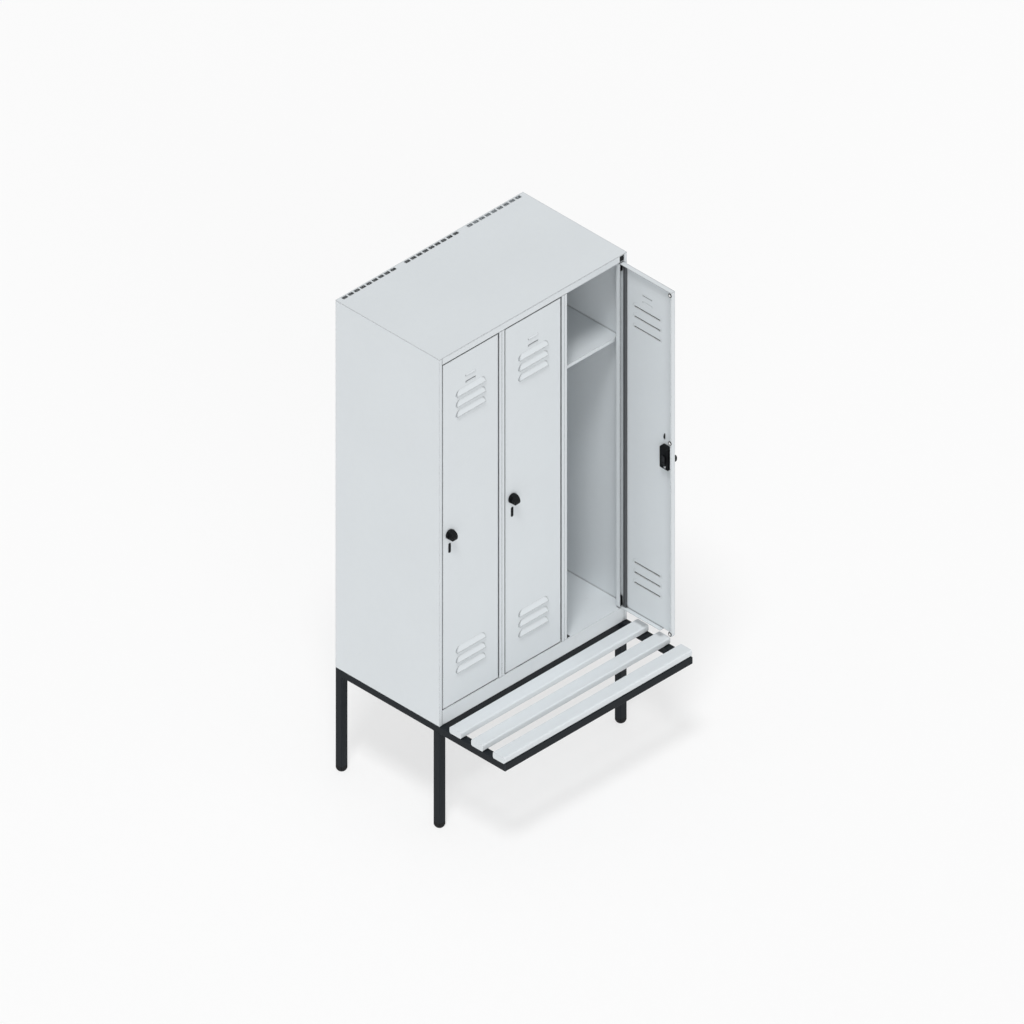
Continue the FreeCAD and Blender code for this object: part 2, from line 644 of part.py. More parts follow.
def door_panel():
    width = DOOR_RIGHT - DOOR_LEFT
    path = [
        (DOOR_LEFT + FREE_LIP, DOOR_BACK), (DOOR_LEFT, DOOR_BACK), (DOOR_LEFT, DOOR_RECESS),
        (DOOR_RIGHT, DOOR_RECESS), (DOOR_RIGHT, DOOR_BACK), (DOOR_RIGHT - HINGE_LIP, DOOR_BACK),
    ]
    panel = folded(path, "xy", DOOR_LOW, DOOR_HIGH - DOOR_LOW)
    folds = []
    flange_y0 = SKIN_BACK - SHEET / 2
    for start, z0 in ((FLANGE_STOP, DOOR_LOW), (SHEET, DOOR_HIGH - SHEET)):
        x0 = DOOR_LEFT + start
        folds.append(box(x0, DOOR_RIGHT - SHEET, flange_y0, DOOR_BACK - SHEET, z0, z0 + SHEET))
    ear_x0 = DOOR_LEFT + SHEET + BEND
    ear_x1 = DOOR_LEFT + EAR_WIDTH
    for z in buffer_places:
        half = EAR_HEIGHT / 2
        folds.append(box(ear_x0, ear_x1, DOOR_BACK - SHEET, DOOR_BACK, z - half, z + half))
    panel = panel.multiFuse(folds)
    centre = DOOR_LEFT + width / 2
    hoods = []
    hollows = []
    for row in range(LOUVRE_ROWS):
        upper = HEIGHT - LOUVRE_DROP - row * LOUVRE_PITCH
        lower = BODY_BOTTOM + LOUVRE_RISE + row * LOUVRE_PITCH
        for low in (upper, lower):
            hood, hollow = louvre(centre, low)
            hoods.append(hood)
            hollows.append(hollow)
    for drop, upward in ((CARD_LOW_DROP, True), (CARD_HIGH_DROP, False)):
        lip, hollow = card_lip(centre, HEIGHT - drop, upward)
        hoods.append(lip)
        hollows.append(hollow)
    panel = panel.multiFuse(hoods)
    for hollow in hollows:
        panel = panel.cut(hollow)
    panel = panel.cut(rod_y(SPINDLE_RADIUS + SPINDLE_CLEARANCE, KNOB_X, KNOB_Z, 0, DOOR_BACK))
    for z0 in (DOOR_LOW, DOOR_HIGH - SHEET):
        panel = panel.cut(pin_hole(PIVOT_X, z0))
    return panel.removeSplitter()


def stiffener():
    x1 = DOOR_RIGHT - STIFFENER_START
    x0 = x1 - STIFFENER_WIDTH
    back = SKIN_BACK + STIFFENER_DEPTH
    path = [(x0, SKIN_BACK), (x0, back), (x1, back), (x1, SKIN_BACK)]
    low = DOOR_LOW + SHEET + SEAM
    return folded(path[::-1], "xy", low, DOOR_HIGH - DOOR_LOW - 2 * (SHEET + SEAM))


def bearings():
    blocks = []
    half = BEARING_WIDTH / 2
    y0 = SKIN_BACK + SEAM
    x1 = DOOR_RIGHT - SHEET - BEND
    for z0 in (DOOR_LOW + SHEET, DOOR_HIGH - SHEET - BEARING_HEIGHT):
        block = box(PIVOT_X - half, x1, y0, y0 + BEARING_DEPTH, z0, z0 + BEARING_HEIGHT)
        depth = PIN_ENGAGEMENT + PIN_END_ROOM
        bore_z0 = DOOR_LOW if z0 < KNOB_Z else DOOR_HIGH - depth
        bore = rod_z(PIN_RADIUS + PIN_CLEARANCE, PIVOT_X, PIVOT_Y, bore_z0, bore_z0 + depth)
        blocks.append(block.cut(bore))
    return blocks


def buffers():
    x = DOOR_LEFT + BUFFER_FROM_EDGE
    pads = []
    for z in buffer_places:
        pad = rod_y(BUFFER_RADIUS, x, z, DOOR_BACK, DOOR_BACK + BUFFER_THICKNESS)
        rim = max(pad.Edges, key=lambda edge: edge.CenterOfMass.y)
        pads.append(pad.makeFillet(BUFFER_THICKNESS / 2, [rim]))
    return pads


def lock_case():
    x0 = DOOR_LEFT + CASE_FROM_EDGE
    z0 = BODY_BOTTOM + CASE_LOW
    face = rectangle(x0, x0 + CASE_WIDTH, z0, z0 + CASE_HEIGHT)
    shell = prism(face, CASE_CORNER, "xz", SKIN_BACK, CASE_DEPTH)
    bore_radius = SPINDLE_RADIUS + SPINDLE_CLEARANCE
    shell = shell.cut(rod_y(bore_radius, KNOB_X, KNOB_Z, 0, SKIN_BACK + CASE_DEPTH))
    tab_x = DOOR_LEFT + TAB_FROM_EDGE
    tab_z = BODY_BOTTOM + TAB_HEIGHT
    tab_back = SKIN_BACK + TAB_REACH
    centre = V(tab_x, tab_back - TAB_RADIUS, tab_z)
    disc = Part.makeCylinder(TAB_RADIUS, TAB_THICKNESS, centre, V(1, 0, 0))
    tab_low = tab_z - TAB_RADIUS
    tab_high = tab_z + TAB_RADIUS
    behind = box(tab_x, tab_x + TAB_THICKNESS, SKIN_BACK, tab_back, tab_low, tab_high)
    return [shell, disc.common(behind)]


def pill(wide, high, front, depth):
    """Upright bar with round ends under the knob."""
    z = BODY_BOTTOM + KEY_PLATE_CENTRE
    bar = rectangle(KNOB_X - wide / 2, KNOB_X + wide / 2, z - high / 2, z + high / 2)
    return prism(bar, wide / 2 - SLIVER, "xz", front, depth)


def key_plate():
    front = DOOR_RECESS - KEY_PLATE_REACH
    plate = pill(KEY_PLATE_WIDTH, KEY_PLATE_HEIGHT, front, KEY_PLATE_REACH)
    return plate.cut(pill(KEY_SLOT_WIDTH, KEY_SLOT_HEIGHT, front, KEY_SLOT_DEPTH))


def knob():
    """Round base with a wide grip across it, whose front is crowned from end to end."""
    face = DOOR_RECESS - MOVING_CLEARANCE
    front = DOOR_RECESS - KNOB_REACH
    shoulder = DOOR_RECESS - KNOB_SHOULDER
    disc = rod_y(KNOB_RADIUS, KNOB_X, KNOB_Z, face - KNOB_BASE, face)
    x0 = KNOB_X - KNOB_GRIP / 2
    low = KNOB_Z - KNOB_RADIUS
    high = KNOB_Z + KNOB_RADIUS
    crown = Part.Wire([
        Part.makeLine(V(x0, face, low), V(x0, shoulder, low)),
        Part.Arc(V(x0, shoulder, low), V(x0, front, KNOB_Z), V(x0, shoulder, high)).toShape(),
        Part.makeLine(V(x0, shoulder, high), V(x0, face, high)),
        Part.makeLine(V(x0, face, high), V(x0, face, low)),
    ])
    grip = Part.Face(crown).extrude(V(KNOB_GRIP, 0, 0))
    grip = grip.common(rod_y(KNOB_RADIUS - KNOB_GRIP_TIP, KNOB_X, KNOB_Z, front, face))
    spindle = rod_y(SPINDLE_RADIUS, KNOB_X, KNOB_Z, face, CAM_FRONT + CAM_THICKNESS)
    return fuse([disc, grip, spindle])


def cam():
    half = CAM_WIDTH / 2
    bar = rectangle(KNOB_X - half, KNOB_X + half, KNOB_Z - CAM_TAIL, KNOB_Z + CAM_REACH)
    blade = prism(bar, CAM_CORNER, "xz", CAM_FRONT, CAM_THICKNESS)
    return blade.cut(rod_y(SPINDLE_RADIUS, KNOB_X, KNOB_Z, CAM_FRONT, CAM_FRONT + CAM_THICKNESS))


door_pieces = {
    "door_panel": [door_panel()],
    "door_stiffener": [stiffener()],
    "door_bearings": bearings(),
    "door_buffers": buffers(),
    "lock_case": lock_case(),
    "key_plate": [key_plate()],
    "knob": [knob()],
    "latch_cam": [cam()],
}
for number in range(COMPARTMENTS):
    for piece, solids in door_pieces.items():
        placed = []
        for solid in solids:
            moved = solid.copy()
            if number == COMPARTMENTS - 1:
                moved.rotate(V(PIVOT_X, PIVOT_Y, 0), V(0, 0, 1), OPEN_ANGLE)
            moved.translate(V(number * PITCH, 0, 0))
            placed.append(moved)
        save(piece + "_" + str(number + 1), placed)
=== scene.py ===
# %% [markdown]
# # A clothes locker with a bench
# The engineered solids of the locker come in as a frame that stays fixed. This lesson dresses them:
# paint, plastic and zinc as node materials, and a few small pieces modelled by hand on top.
# The frame is loaded first, because every later piece is fitted to it.

# %% Load the frame
import json
import math

import bmesh
import bpy
from mathutils import Matrix, Vector


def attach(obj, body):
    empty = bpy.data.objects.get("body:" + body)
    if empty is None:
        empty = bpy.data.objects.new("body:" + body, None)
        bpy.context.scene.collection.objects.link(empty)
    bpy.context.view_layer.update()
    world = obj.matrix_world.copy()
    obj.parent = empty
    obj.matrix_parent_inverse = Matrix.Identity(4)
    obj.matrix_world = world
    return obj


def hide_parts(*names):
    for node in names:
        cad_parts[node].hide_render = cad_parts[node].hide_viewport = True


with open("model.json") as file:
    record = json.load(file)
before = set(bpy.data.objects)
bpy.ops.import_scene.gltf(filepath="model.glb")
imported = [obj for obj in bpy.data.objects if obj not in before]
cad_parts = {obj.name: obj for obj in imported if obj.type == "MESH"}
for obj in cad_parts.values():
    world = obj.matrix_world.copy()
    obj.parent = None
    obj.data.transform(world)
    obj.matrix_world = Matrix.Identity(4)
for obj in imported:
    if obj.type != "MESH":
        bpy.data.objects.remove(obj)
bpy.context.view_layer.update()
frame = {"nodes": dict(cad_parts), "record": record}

# %% [markdown]
# ## Where things are
# The drawing of the locker counts in millimetres from its front left edge on the floor. Blender counts
# in metres from the middle of the whole. One small function turns the first into the second,
# so that every later place can be read off the drawing.

# %% Places in millimetres
MM = 0.001
FRONT_LEFT = Vector((-456.25, -92.5, 0.0))
WIDTH, DEPTH, HEIGHT = 900.0, 500.0, 1950.0
PITCH = 300.0
DOORS = 3


def at(x, y, z):
    """A place on the drawing, in metres in the frame."""
    return (Vector((x, y, z)) + FRONT_LEFT) * MM


print("front left corner of the roof:", tuple(at(0, 0, HEIGHT)))

# %% [markdown]
# ## Camera
# The picture is an isometric drawing: three axes at equal angles and no perspective. So the camera is
# orthographic, turned 45 degrees to the left of the front and raised by the isometric 35.26 degrees.
# Its scale comes from the height of the body, and one known corner fixes the framing.

# %% Isometric camera
IMAGE = 1024.0
PIXELS_PER_MM = 0.2946
AZIMUTH = math.radians(-45.0)
ELEVATION = math.atan(1 / math.sqrt(2))
CAMERA_DISTANCE = 8.0
BODY_LOW = 425.0
CORNER_PIXEL = Vector((439.5, 727.0))
UPRIGHT = Vector((0, 0, 1))

level = Vector((-math.sin(AZIMUTH), math.cos(AZIMUTH), 0.0))
forward = level * math.cos(ELEVATION) - UPRIGHT * math.sin(ELEVATION)
right = forward.cross(UPRIGHT).normalized()
up = right.cross(forward)
metres_per_pixel = MM / PIXELS_PER_MM
aim = at(0, 0, BODY_LOW)
aim += right * (IMAGE / 2 - CORNER_PIXEL.x) * metres_per_pixel
aim += up * (CORNER_PIXEL.y - IMAGE / 2) * metres_per_pixel

bpy.ops.object.camera_add(location=aim - forward * CAMERA_DISTANCE)
camera = bpy.context.object
camera.rotation_euler = forward.to_track_quat("-Z", "Y").to_euler()
camera.data.type = "ORTHO"
camera.data.ortho_scale = IMAGE * metres_per_pixel
bpy.context.scene.camera = camera
bpy.context.scene.view_settings.view_transform = "Standard"
print("camera looks along", tuple(round(c, 3) for c in forward), "scale", camera.data.ortho_scale)

# %% [markdown]
# ## Shader maths as plain sums
# A material is a net of nodes. Written by hand that is many lines, so a socket is wrapped in a small class
# whose plus, minus and times add Math nodes. One method makes every other node:
# its settings come first, then the values or links of its sockets.

# %% Sockets in sums
class Signal:
    """An output socket that can stand in a sum."""

    def __init__(self, net, socket):
        self.net = net
        self.socket = socket

    def maths(self, operation, first, second):
        return self.net.node("ShaderNodeMath", {"operation": operation}, {0: first, 1: second})

    def __add__(self, other):
        return self.maths("ADD", self, other)

    def __radd__(self, other):
        return self.maths("ADD", other, self)

    def __sub__(self, other):
        return self.maths("SUBTRACT", self, other)

    def __rsub__(self, other):
        return self.maths("SUBTRACT", other, self)

    def __mul__(self, other):
        return self.maths("MULTIPLY", self, other)

    def __rmul__(self, other):
        return self.maths("MULTIPLY", other, self)


print("a signal can be added, subtracted and multiplied")


# %% Nets of nodes
class Net:
    """A node tree whose nodes all come from one method."""

    def __init__(self, tree):
        self.tree = tree

    def node(self, kind, settings, inputs, output=0):
        made = self.tree.nodes.new(kind)
        for key, value in settings.items():
            setattr(made, key, value)
        for key, value in inputs.items():
            self.feed(made.inputs[key], value)
        return Signal(self, made.outputs[output])

    def feed(self, socket, value):
        if isinstance(value, Signal):
            self.tree.links.new(value.socket, socket)
        else:
            socket.default_value = value

    def seen(self):
        """One for rays from the camera, off a gloss or through glass, zero for rays that only give light."""
        rays = ("Is Camera Ray", "Is Glossy Ray", "Is Transmission Ray")
        direct, mirrored, through = (self.node("ShaderNodeLightPath", {}, {}, ray) for ray in rays)
        return direct.maths("MAXIMUM", direct, mirrored.maths("MAXIMUM", mirrored, through))


print("nets ready")


# %% Finishes
class Finish(Net):
    """A material with one shader and the nodes that feed it."""

    def __init__(self, name):
        self.material = bpy.data.materials.new(name)
        self.material.use_nodes = True
        super().__init__(self.material.node_tree)
        self.shader = self.tree.nodes["Principled BSDF"]

    def set(self, **sockets):
        for key, value in sockets.items():
            self.feed(self.shader.inputs[key.replace("_", " ")], value)

    def coords(self):
        return self.node("ShaderNodeTexCoord", {}, {}, "Object")

    def place(self, stretch=(1, 1, 1)):
        return self.node("ShaderNodeMapping", {}, {"Vector": self.coords(), "Scale": stretch})

    def noise(self, scale, detail=2.0, stretch=(1, 1, 1)):
        values = {"Vector": self.place(stretch), "Scale": scale, "Detail": detail}
        return self.node("ShaderNodeTexNoise", {}, values)

    def between(self, low, high, signal):
        """Zero below low, one above high and a smooth step between them."""
        values = {"Value": signal, "From Min": low, "From Max": high}
        return self.node("ShaderNodeMapRange", {"interpolation_type": "SMOOTHSTEP"}, values)

    def blend(self, amount, first, second):
        values = {0: amount, 6: first, 7: second}
        return self.node("ShaderNodeMix", {"data_type": "RGBA"}, values, 2)

    def bump(self, height, distance, strength):
        values = {"Height": height, "Distance": distance, "Strength": strength}
        return self.node("ShaderNodeBump", {}, values)

    def painted_gap_shade(self, reach, deep, shallow):
        """Painted shade: one deep in a joint or a gap, zero on open faces."""
        openness = self.node("ShaderNodeAmbientOcclusion", {"samples": 8}, {"Distance": reach}, "AO")
        return 1 - self.between(deep, shallow, openness)

    def edge(self, radius, sharp, flat):
        """One along a fold or an edge, zero on flat faces."""
        rounded = self.node("ShaderNodeBevel", {"samples": 4}, {"Radius": radius})
        facing = self.node("ShaderNodeNewGeometry", {}, {}, "True Normal")
        values = {0: rounded, 1: facing}
        alike = self.node("ShaderNodeVectorMath", {"operation": "DOT_PRODUCT"}, values, "Value")
        return 1 - self.between(sharp, flat, alike)


def tone(colour, factor):
    """A linear colour made darker or lighter, with its alpha."""
    return tuple(min(1.0, c * factor) for c in colour) + (1.0,)


print("shader helpers ready")

# %% [markdown]
# ## Powder coat
# The body is sheet steel with a baked powder coat. Close up such a coat has a fine orange peel, its gloss
# drifts a little from place to place, and low down it carries rub marks from shoes.
# Noises do this: a fine one for the peel, wide ones for the drift and a stretched one for the rubs.
# In gaps and folds an Ambient Occlusion node paints shade into the coat colour. On edges the coat
# wears thin: a Bevel node rounds the normal near an edge, and where that differs from the true one
# the steel shows through.

# %% Recipe of a coat
# Reach and limits of the painted shade that darkens the colour in gaps and joints.
SHADE_REACH = 0.016
SHADE_DEEP, SHADE_SHALLOW = 0.26, 0.72
EDGE_RADIUS = 0.0042
EDGE_SHARP, EDGE_FLAT = 0.84, 0.9992
RUB_FADE = 0.35


def powder_coat(name, colour, gloss, specular, peel_scale, peel_height, rub_top, rub_tone, edge_tone):
    coat = Finish(name)
    drift = coat.noise(scale=2.5, detail=3.0)
    cloud = coat.noise(scale=38.0, detail=4.0)
    peel = coat.noise(scale=peel_scale)
    streak = coat.noise(scale=26.0, detail=5.0, stretch=(1.0, 1.0, 0.35))
    height = coat.node("ShaderNodeSeparateXYZ", {}, {0: coat.coords()}, "Z")
    low_down = 1 - coat.between(rub_top * RUB_FADE, rub_top, height)
    rubs = coat.between(low=0.62, high=0.76, signal=streak) * low_down
    # Painted shade in gaps and joints, from an Ambient Occlusion node.
    gap_shade = coat.painted_gap_shade(SHADE_REACH, SHADE_DEEP, SHADE_SHALLOW)
    edge = coat.edge(EDGE_RADIUS, EDGE_SHARP, EDGE_FLAT)
    shade = coat.blend(drift * 0.7 + cloud * 0.3, tone(colour, 0.95), tone(colour, 1.04))
    rubbed = coat.blend(rubs * 0.35, shade, tone(colour, rub_tone))
    worn = coat.blend(edge * (cloud * 0.5 + 0.5), rubbed, tone(colour, edge_tone))
    coat.set(
        # In gaps the colour is painted down towards a tenth of the coat: painted shade.
        Base_Color=coat.blend(gap_shade * 0.9, worn, tone(colour, 0.10)),
        Roughness=gloss + drift * 0.10 + cloud * 0.06 + rubs * 0.12 + gap_shade * 0.3,
        Normal=coat.bump(peel, distance=peel_height, strength=0.55),
        Specular_IOR_Level=specular,
    )
    return coat.material


# The first value is how far the painted shade in gaps reaches; the second is how far edge wear reaches.
print("dust gathers within", SHADE_REACH, "m, edges wear within", EDGE_RADIUS, "m")

# %% Light grey and near-black coats
LIGHT_GREY = (0.658, 0.694, 0.716)
NEAR_BLACK = (0.0105, 0.0135, 0.0165)
STRIP_GREY = (0.075, 0.079, 0.084)
finishes = {
    "body_paint": powder_coat(
        "light_grey_coat", LIGHT_GREY, gloss=0.36, specular=0.5, peel_scale=900.0, peel_height=0.00012,
        rub_top=0.75, rub_tone=0.86, edge_tone=0.32,
    ),
    "frame_paint": powder_coat(
        "near_black_coat", NEAR_BLACK, gloss=0.40, specular=0.12, peel_scale=1400.0, peel_height=0.00016,
        rub_top=0.45, rub_tone=2.2, edge_tone=2.6,
    ),
    "strip_paint": powder_coat(
        "dark_strip_coat", STRIP_GREY, gloss=0.48, specular=0.3, peel_scale=1400.0, peel_height=0.0001,
        rub_top=0.4, rub_tone=1.2, edge_tone=1.4,
    ),
}
print("coats:", sorted(finishes))

# %% [markdown]
# ## Slats, plastic, rubber and zinc
# The slats are drawn plastic profiles: the die leaves fine lines along them, so a noise is stretched
# along X. Moulded black plastic has a sandy grain. Rubber is matt with a dusty bloom.
# Zinc plate breaks into small crystals, which a Voronoi texture gives.

# %% Slat plastic
def drawn_plastic(name, colour):
    drawn = Finish(name)
    lines = drawn.noise(scale=420.0, stretch=(0.004, 1.0, 1.0))
    drift = drawn.noise(scale=5.0, detail=3.0, stretch=(0.3, 1.0, 1.0))
    grain = drawn.noise(scale=900.0)
    scuffs = drawn.noise(scale=9.0, detail=6.0, stretch=(0.35, 1.0, 1.0))
    wear = drawn.between(low=0.52, high=0.74, signal=scuffs)
    shade = drawn.blend(lines * 0.5 + drift * 0.5, tone(colour, 0.94), tone(colour, 1.05))
    worn = drawn.blend(wear * 0.25, shade, tone(colour, 0.90))
    # Painted shade in gaps and joints, as on the coat.
    gap_shade = drawn.painted_gap_shade(SHADE_REACH, SHADE_DEEP, SHADE_SHALLOW)
    drawn.set(
        Base_Color=drawn.blend(gap_shade * 0.8, worn, tone(colour, 0.15)),
        Roughness=0.50 + lines * 0.12 - wear * 0.10,
        Normal=drawn.bump(lines * 0.8 + grain * 0.2, distance=0.0002, strength=0.6),
    )
    return drawn.material


finishes["slat_plastic"] = drawn_plastic("drawn_grey_plastic", LIGHT_GREY)
print("slats:", finishes["slat_plastic"].name)


# %% Black plastic and pale rubber
def moulded(name, colour, roughness, specular, grain_scale, grain_height, bloom):
    cast = Finish(name)
    grain = cast.noise(scale=grain_scale)
    cloud = cast.noise(scale=60.0, detail=4.0)
    dust = cast.between(low=0.55, high=0.80, signal=cloud)
    cast.set(
        Base_Color=cast.blend(dust * 0.6, tone(colour, 1.0), tone(colour, bloom)),
        Roughness=roughness + cloud * 0.12 + grain * 0.06,
        Normal=cast.bump(grain, distance=grain_height, strength=0.6),
        Specular_IOR_Level=specular,
    )
    return cast.material


JET = (0.0035, 0.0042, 0.0050)
PALE = (0.80, 0.80, 0.79)
finishes["black_plastic"] = moulded(
    "moulded_black", JET, roughness=0.40, specular=0.15, grain_scale=1300.0, grain_height=0.00015, bloom=2.0
)
finishes["buffer_rubber"] = moulded(
    "pale_rubber", PALE, roughness=0.66, specular=0.4, grain_scale=1000.0, grain_height=0.0001, bloom=0.88
)
print("moulded:", finishes["black_plastic"].name, finishes["buffer_rubber"].name)


# %% Zinc and blackened steel
def plated(name, light, dark, roughness):
    plate = Finish(name)
    values = {"Vector": plate.place(), "Scale": 420.0}
    crystals = plate.node("ShaderNodeTexVoronoi", {"feature": "F1"}, values, "Color")
    spangle = plate.node("ShaderNodeSeparateColor", {}, {0: crystals})
    cloud = plate.noise(scale=45.0, detail=4.0)
    plate.set(
        Base_Color=plate.blend(spangle * 0.6 + cloud * 0.4, dark, light),
        Roughness=roughness + spangle * 0.10 + cloud * 0.08,
        Normal=plate.bump(cloud, distance=0.0001, strength=0.3),
        Metallic=1.0,
    )
    return plate.material


finishes["bare_steel"] = plated(
    "zinc_plate", light=(0.66, 0.67, 0.68, 1), dark=(0.47, 0.48, 0.50, 1), roughness=0.26
)
finishes["dark_steel"] = plated(
    "blackened_steel", light=(0.075, 0.078, 0.082, 1), dark=(0.03, 0.031, 0.033, 1), roughness=0.34
)
print("plated:", finishes["bare_steel"].name, finishes["dark_steel"].name)

# %% [markdown]
# ## Painting the frame
# Each solid of the frame names the finish that it takes. So one loop paints all of them.

# %% Paint every node
for subpart in frame["record"]["subparts"]:
    node = frame["nodes"][subpart["node"]]
    node.data.materials.clear()
    node.data.materials.append(finishes[subpart["material_slot"]])

# %% [markdown]
# ## Modelling helpers
# Blender's operators act on whatever is selected and active. These helpers select one piece alone,
# pick its faces or edges by a test on their place, shape what is picked,
# and carry a finished piece to the frame.

# %% Start and pick
QUARTER = math.pi / 2
FACING = 0.9


def alone(piece):
    bpy.ops.object.select_all(action="DESELECT")
    piece.select_set(True)
    bpy.context.view_layer.objects.active = piece


def discard(piece):
    alone(piece)
    bpy.ops.object.delete()


def start(operator, name, **sizes):
    """Adds a primitive with its place in its mesh and leaves it in edit mode."""
    if bpy.context.mode != "OBJECT":
        bpy.ops.object.mode_set(mode="OBJECT")
    bpy.ops.object.select_all(action="DESELECT")
    operator(**sizes)
    piece = bpy.context.object
    piece.name = name
    piece.data.name = name
    bpy.ops.object.transform_apply(location=True, rotation=True, scale=True)
    bpy.ops.object.mode_set(mode="EDIT")
    return piece


def pick(piece, kind, test):
    """Selects the faces or edges that pass a test, which is also given their middle."""
    bpy.ops.mesh.select_mode(type="FACE" if kind == "faces" else "EDGE")
    bpy.ops.mesh.select_all(action="DESELECT")
    mesh = bmesh.from_edit_mesh(piece.data)
    for element in getattr(mesh, kind):
        middle = sum((v.co for v in element.verts), Vector()) / len(element.verts)
        if test(element, middle):
            element.select_set(True)
    bmesh.update_edit_mesh(piece.data)


print("a face counts as facing a way from", FACING)


# %% Shape and join
def extrude(x, y, z):
    """Extrudes what is picked by a step in millimetres."""
    bpy.ops.mesh.extrude_region_move(TRANSFORM_OT_translate={"value": (x * MM, y * MM, z * MM)})


def use(piece, kind, **settings):
    """Adds one modifier and applies it."""
    if bpy.context.mode != "OBJECT":
        bpy.ops.object.mode_set(mode="OBJECT")
    alone(piece)
    modifier = piece.modifiers.new(kind.title(), kind)
    for key, value in settings.items():
        setattr(modifier, key, value)
    bpy.ops.object.modifier_apply(modifier=modifier.name)


def round_edges(piece, width, segments, sharper_than):
    """Rounds the edges that are sharper than an angle in degrees."""
    limit = math.radians(sharper_than)
    use(piece, "BEVEL", width=width * MM, segments=segments, limit_method="ANGLE", angle_limit=limit)


def combine(piece, other, operation):
    """Joins or cuts one piece with another, which is then deleted."""
    use(piece, "BOOLEAN", operation=operation, object=other, solver="EXACT")
    discard(other)


def twin(piece, name, move):
    """A copy with its own mesh, moved by a matrix in its mesh."""
    alone(piece)
    bpy.ops.object.duplicate()
    copy = bpy.context.object
    copy.name = name
    copy.data.name = name
    copy.data.transform(move)
    return copy


def join_all(pieces, name):
    """Makes many pieces one."""
    alone(pieces[0])
    for piece in pieces:
        piece.select_set(True)
    bpy.ops.object.join()
    joined = bpy.context.object
    joined.name = name
    joined.data.name = name
    return joined


print("shaping helpers ready")

# %% Carry to the frame
SMOOTH_BELOW = math.radians(35)
PIVOT_X, PIVOT_Y = 275.0, 10.5


def hang(piece, body, slot):
    """Gives a finished piece its smooth shading, its finish and the body that carries it."""
    alone(piece)
    bpy.ops.object.shade_smooth_by_angle(angle=SMOOTH_BELOW)
    piece.data.materials.clear()
    piece.data.materials.append(finishes[slot])
    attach(piece, body)


def along_row(number):
    """Moves a piece of the first compartment to another one."""
    return Matrix.Translation(((number - 1) * PITCH * MM, 0, 0))


pivot = at(2 * PITCH + PIVOT_X, PIVOT_Y, 0.0)
swing = Matrix.Translation(pivot) @ Matrix.Rotation(QUARTER, 4, "Z") @ Matrix.Translation(-pivot)
to_door = {1: along_row(1), 2: along_row(2), 3: swing @ along_row(3)}
print("the right door is turned about", tuple(round(c, 4) for c in pivot))

# %% [markdown]
# ## Turning knob
# The knob is a moulded cap: a round base and a wide grip across it, crowned from end to end.
# The grip could be carved from a block, but its crown is a piece of a lying cylinder, so that is the start:
# two planes cut it flat behind and below, its edges are rounded, two upright cylinders hollow its sides
# for the fingers, and it is joined to the base.
# A groove shows which way the knob points.

# %% Round base and spindle
KNOB_X, KNOB_Z = 49.0, 1203.0
BASE_RADIUS, BASE_BACK, BASE_DEPTH = 18.5, 0.6, 7.0
DISH_RIM, DISH_DEPTH, DISH_TAPER = 1.6, 1.2, 0.97
SPINDLE_RADIUS, SPINDLE_LENGTH = 4.0, 28.2

knob = start(
    bpy.ops.mesh.primitive_cylinder_add, "knob_base", vertices=72, radius=BASE_RADIUS * MM,
    depth=BASE_DEPTH * MM, location=at(KNOB_X, BASE_BACK - BASE_DEPTH / 2, KNOB_Z),
    rotation=(QUARTER, 0, 0),
)
pick(knob, "faces", lambda face, middle: face.normal.y < -FACING)
bpy.ops.mesh.inset(thickness=DISH_RIM * MM)
extrude(0, DISH_DEPTH, 0)
bpy.ops.transform.resize(value=(DISH_TAPER, 1, DISH_TAPER), center_override=at(KNOB_X, 0, KNOB_Z))
pick(knob, "faces", lambda face, middle: face.normal.y > FACING)
bpy.ops.mesh.inset(thickness=(BASE_RADIUS - SPINDLE_RADIUS) * MM)
extrude(0, SPINDLE_LENGTH, 0)
round_edges(knob, width=0.6, segments=3, sharper_than=28)
print("base faces:", len(knob.data.polygons))

# %% Crowned grip
GRIP_WIDTH, GRIP_FRONT, GRIP_BACK, GRIP_LOW = 24.0, -29.0, -2.2, -15.0
CROWN_RADIUS, CROWN_DROP = 21.0, 3.4
crown_y = GRIP_FRONT + CROWN_RADIUS
crown_z = KNOB_Z - CROWN_DROP
grip = start(
    bpy.ops.mesh.primitive_cylinder_add, "knob_grip", vertices=40, radius=CROWN_RADIUS * MM,
    depth=GRIP_WIDTH * MM, location=at(KNOB_X, crown_y, crown_z), rotation=(0, QUARTER, 0),
)
trims = [((0, GRIP_BACK, 0), (0, 1, 0)), ((0, 0, KNOB_Z + GRIP_LOW), (0, 0, -1))]
for place, normal in trims:
    bpy.ops.mesh.select_all(action="SELECT")
    bpy.ops.mesh.bisect(plane_co=at(*place), plane_no=normal, use_fill=True, clear_outer=True)
round_edges(grip, width=2.3, segments=5, sharper_than=40)
print("grip faces:", len(grip.data.polygons))

# %% Finger hollows
HOLLOW_RADIUS, HOLLOW_DEPTH, HOLLOW_HEIGHT = 30.0, 1.6, 60.0
HOLLOW_Y = -16.0
reach = GRIP_WIDTH / 2 - HOLLOW_DEPTH + HOLLOW_RADIUS
for side in (-1, 1):
    hollow = start(
        bpy.ops.mesh.primitive_cylinder_add, "finger_hollow", vertices=120, radius=HOLLOW_RADIUS * MM,
        depth=HOLLOW_HEIGHT * MM, location=at(KNOB_X + side * reach, HOLLOW_Y, KNOB_Z),
    )
    combine(grip, hollow, "DIFFERENCE")
combine(knob, grip, "UNION")
print("knob faces:", len(knob.data.polygons))

